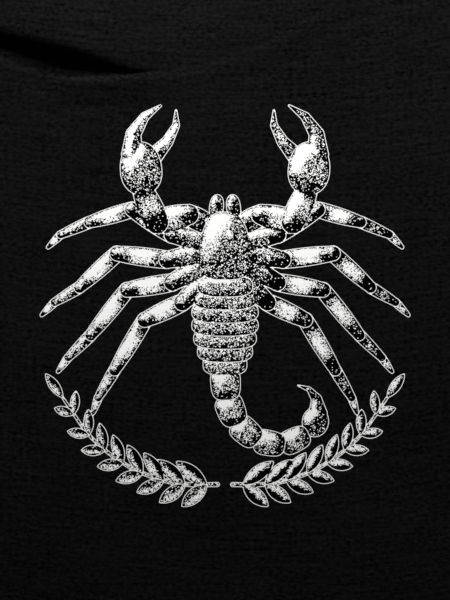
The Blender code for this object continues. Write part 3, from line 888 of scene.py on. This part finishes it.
# Collar
# A band of black cotton rib, folded double along its free edge and sewn to the neck by its raw edges.
# The ribs run across the band, and the band lies folded flat at the two sides of the neck.
COLLAR_EDGE_HALF, COLLAR_RISE = 0.084, 0.020
COLLAR_FRONT_Z, COLLAR_BACK_Z = 0.0033, 0.0010
COLLAR_HALF_THICK = 0.0008
COLLAR_GAP = 0.00035
COLLAR_SETTLE = 0.0011
RIB_PITCH, RIB_RELIEF, RIB_COLUMNS = 0.0023, 0.00018, 6
COLLAR_FOLD_STEPS = 10
BAND_ROWS = (0.0, 0.02, 0.06, 0.10, 0.16, 0.24, 0.36, 0.50, 0.64, 0.78, 0.88, 0.93, 0.965, 0.985, 0.996)


def collar_loop(half_width, y, front_drop, back_drop, count):
    """One edge of the flattened collar: along the front, over the left fold, along the back, over the right."""
    middle, radius = (COLLAR_FRONT_Z + COLLAR_BACK_Z) / 2, (COLLAR_FRONT_Z - COLLAR_BACK_Z) / 2
    front = neck_line(half_width, y, front_drop, FRONT_CURVE, count)
    back = neck_line(half_width, y, back_drop, BACK_CURVE, count)[::-1]
    turns = np.pi * np.arange(1, COLLAR_FOLD_STEPS) / COLLAR_FOLD_STEPS
    left = np.column_stack([-half_width - radius * np.sin(turns), 0 * turns + y, middle + radius * np.cos(turns)])
    right = np.column_stack([half_width + radius * np.sin(turns), 0 * turns + y, middle - radius * np.cos(turns)])
    front = np.column_stack([front, np.full(len(front), COLLAR_FRONT_Z)])
    back = np.column_stack([back, np.full(len(back), COLLAR_BACK_Z)])
    return np.concatenate([front, left, back, right])


side_room = COLLAR_GAP + 0.0010 + (COLLAR_FRONT_Z - COLLAR_BACK_Z) / 2
front_ribs = round(0.29 / RIB_PITCH)
collar_count = front_ribs * RIB_COLUMNS
band_seam = collar_loop(NECK_HALF - side_room, NECK_Y, FRONT_DROP - COLLAR_GAP, BACK_DROP - 0.0007, collar_count)
band_edge = collar_loop(
    COLLAR_EDGE_HALF - side_room, NECK_Y + COLLAR_RISE, FRONT_DROP - COLLAR_GAP, BACK_DROP - 0.0014, collar_count
)
around = len(band_seam)
share = np.array(BAND_ROWS)[:, None, None]
band = band_seam + (band_edge - band_seam) * share
angle = np.pi * np.arange(collar_count + 1) / collar_count
band[:, : collar_count + 1, 2] -= COLLAR_SETTLE * smooth(0.12, 0.45, np.sin(angle)) * (1 - 0.6 * share[..., 0])
way = np.roll(band, -1, 1) - np.roll(band, 1, 1)
over = np.broadcast_to(band_edge - band_seam, band.shape)
outward = np.cross(over, way)
outward /= np.linalg.norm(outward, axis=2)[..., None]
step_lengths = np.linalg.norm(way, axis=2)[len(BAND_ROWS) // 2] / 2
place = np.concatenate([[0], np.cumsum(step_lengths)[:-1]])
rib_count = round(place[-1] / RIB_PITCH)
rib = np.cos(2 * math.pi * rib_count * place / step_lengths.sum())
rib = RIB_RELIEF * np.sign(rib) * np.abs(rib) ** 0.6
half = COLLAR_HALF_THICK * np.sqrt(1 - np.clip((share - 0.95) / 0.05, 0, 1) ** 2)
half = half * (0.55 + 0.45 * smooth(0.0, 0.14, share))
relief = (rib * smooth(0.04, 0.14, share[..., 0]) * (1 - smooth(0.93, 0.985, share[..., 0])))[..., None]
upper = band + outward * (half + relief)
lower = band - outward * (half + relief)
shell = np.concatenate([upper, lower[::-1]])
rows, count = shell.shape[:2]
starts = np.arange(rows)[:, None] * count
nexts = (np.arange(rows)[:, None] + 1) % rows * count
here, beside = np.arange(count), (np.arange(count) + 1) % count
collar_faces = np.stack([starts + here, starts + beside, nexts + beside, nexts + here], -1).reshape(-1, 4)

rib_finish = Finish("rib", Roughness=0.95, Specular_IOR_Level=0.03)
rib_x, rib_y = cloth_plane(rib_finish)
rib_tone = 0.55 + 0.9 * rib_finish.noise(rib_x * 600.0, rib_y * 160.0) - 0.45
rib_finish.set(
    rib_finish.shader, "Base Color", rib_finish.mix(rib_tone, (0, 0, 0, 1), (0.008, 0.008, 0.0082, 1))
)
rib_finish.relief(rib_finish.noise(rib_x * 1400.0, rib_y * 700.0, 1.0) * 0.00008)
band_width = np.linalg.norm(band_edge - band_seam, axis=1).mean()
cut_rows = np.concatenate([np.array(BAND_ROWS), 2 - np.array(BAND_ROWS)[::-1]]) * band_width
collar_cut = np.stack(np.broadcast_arrays(place, cut_rows[:, None]), -1).reshape(-1, 2)
collar = lay_cloth("collar", collar_cut, collar_faces.tolist(), shell.reshape(-1, 3), [rib_finish.material])
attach(collar, "root")
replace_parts(collar, "collar_rib")

# Neck tape
# A narrow strip of black herringbone tape, sewn over the back neck seam on the inside by both its edges.
# It lies on the back panel and shows in the neck opening.
TAPE_WIDTH, TAPE_HALF, TAPE_THICK = 0.010, 0.087, 0.0005
TAPE_STEP = 0.0025

tape_seam = neck_line(NECK_HALF, NECK_Y - 0.00035, BACK_DROP, BACK_CURVE, round(2 * NECK_HALF / TAPE_STEP))
tape_seam = tape_seam[np.abs(tape_seam[:, 0]) < TAPE_HALF]
tape_rows = np.linspace(0, 1, 7)
tape_grid = tape_seam[None] - tape_rows[:, None, None] * (0, TAPE_WIDTH)
tape_cut = np.stack(np.broadcast_arrays(tape_seam[:, 0], tape_rows[:, None] * TAPE_WIDTH), -1).reshape(-1, 2)
tape_dip = 0.00012 * np.exp(-(((np.abs(tape_rows - 0.5) - 0.36) / 0.07) ** 2))
tape_level = CLOTH + 0.0001 + TAPE_THICK - tape_dip
tape_points = np.column_stack([tape_grid.reshape(-1, 2), np.repeat(tape_level, len(tape_seam))])
count = len(tape_seam)
starts = np.arange(len(tape_rows) - 1)[:, None] * count + np.arange(count - 1)
tape_faces = np.stack([starts, starts + 1, starts + count + 1, starts + count], -1).reshape(-1, 4)

tape_finish = Finish("tape", Roughness=0.9, Specular_IOR_Level=0.05)
tape_x, tape_y = cloth_plane(tape_finish)
zigzag = abs(tape_finish.maths("PINGPONG", tape_y, 0.0025) * 1.0)
twill = tape_finish.maths("SINE", (tape_x + zigzag) * (2 * math.pi / 0.0011))
tape_finish.set(
    tape_finish.shader, "Base Color", tape_finish.mix(0.5 + twill * 0.35, (0.003, 0.003, 0.003, 1), (0.014, 0.014, 0.0145, 1))
)
tape_finish.relief(twill * 0.00004)
tape = lay_cloth("tape", tape_cut, tape_faces.tolist(), tape_points, [tape_finish.material])
face_up(tape)
thicken(tape, TAPE_THICK, -1)
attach(tape, "root")
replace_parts(tape, "neck_tape")

# Table, lights and camera
# A plain pale table top, a soft light from beyond the collar, and a camera straight above the chest.
VIEW_CENTRE = (0.0, -0.005)
CAMERA_HEIGHT = 1.2
VIEW_HEIGHT = 0.48

bpy.ops.object.select_all(action="DESELECT")
bpy.ops.mesh.primitive_plane_add(size=6, location=(0, 0, -0.0005))
table = bpy.context.object
table.name = "table"
table_finish = Finish("table", Base_Color=(0.42, 0.41, 0.39, 1), Roughness=0.8)
table.data.materials.append(table_finish.material)


def area_light(name, place, aim, size, watts):
    """A square soft light, turned to the point that it lights."""
    data = bpy.data.lights.new(name, "AREA")
    data.size = size
    data.energy = watts
    light = bpy.data.objects.new(name, data)
    light.location = place
    light.rotation_euler = (Vector(aim) - Vector(place)).to_track_quat("-Z", "Y").to_euler()
    bpy.context.scene.collection.objects.link(light)


area_light("key", (0.05, 1.10, 0.60), (0, 0.0, 0), 0.30, 31)
area_light("fill", (-0.2, -0.4, 1.8), (0, 0, 0), 1.6, 1.5)
bpy.context.scene.world = bpy.data.worlds.new("room")
bpy.context.scene.world.use_nodes = True
bpy.context.scene.world.node_tree.nodes["Background"].inputs["Strength"].default_value = 0.06
bpy.context.scene.world.node_tree.nodes["Background"].inputs["Color"].default_value = (1, 1, 1, 1)
bpy.context.scene.view_settings.view_transform = "Standard"

camera_data = bpy.data.cameras.new("camera")
camera_data.sensor_fit = "VERTICAL"
camera_data.sensor_height = 24
camera_data.lens = camera_data.sensor_height * CAMERA_HEIGHT / VIEW_HEIGHT
camera = bpy.data.objects.new("camera", camera_data)
camera.location = (*VIEW_CENTRE, CAMERA_HEIGHT)
bpy.context.scene.collection.objects.link(camera)
bpy.context.scene.camera = camera
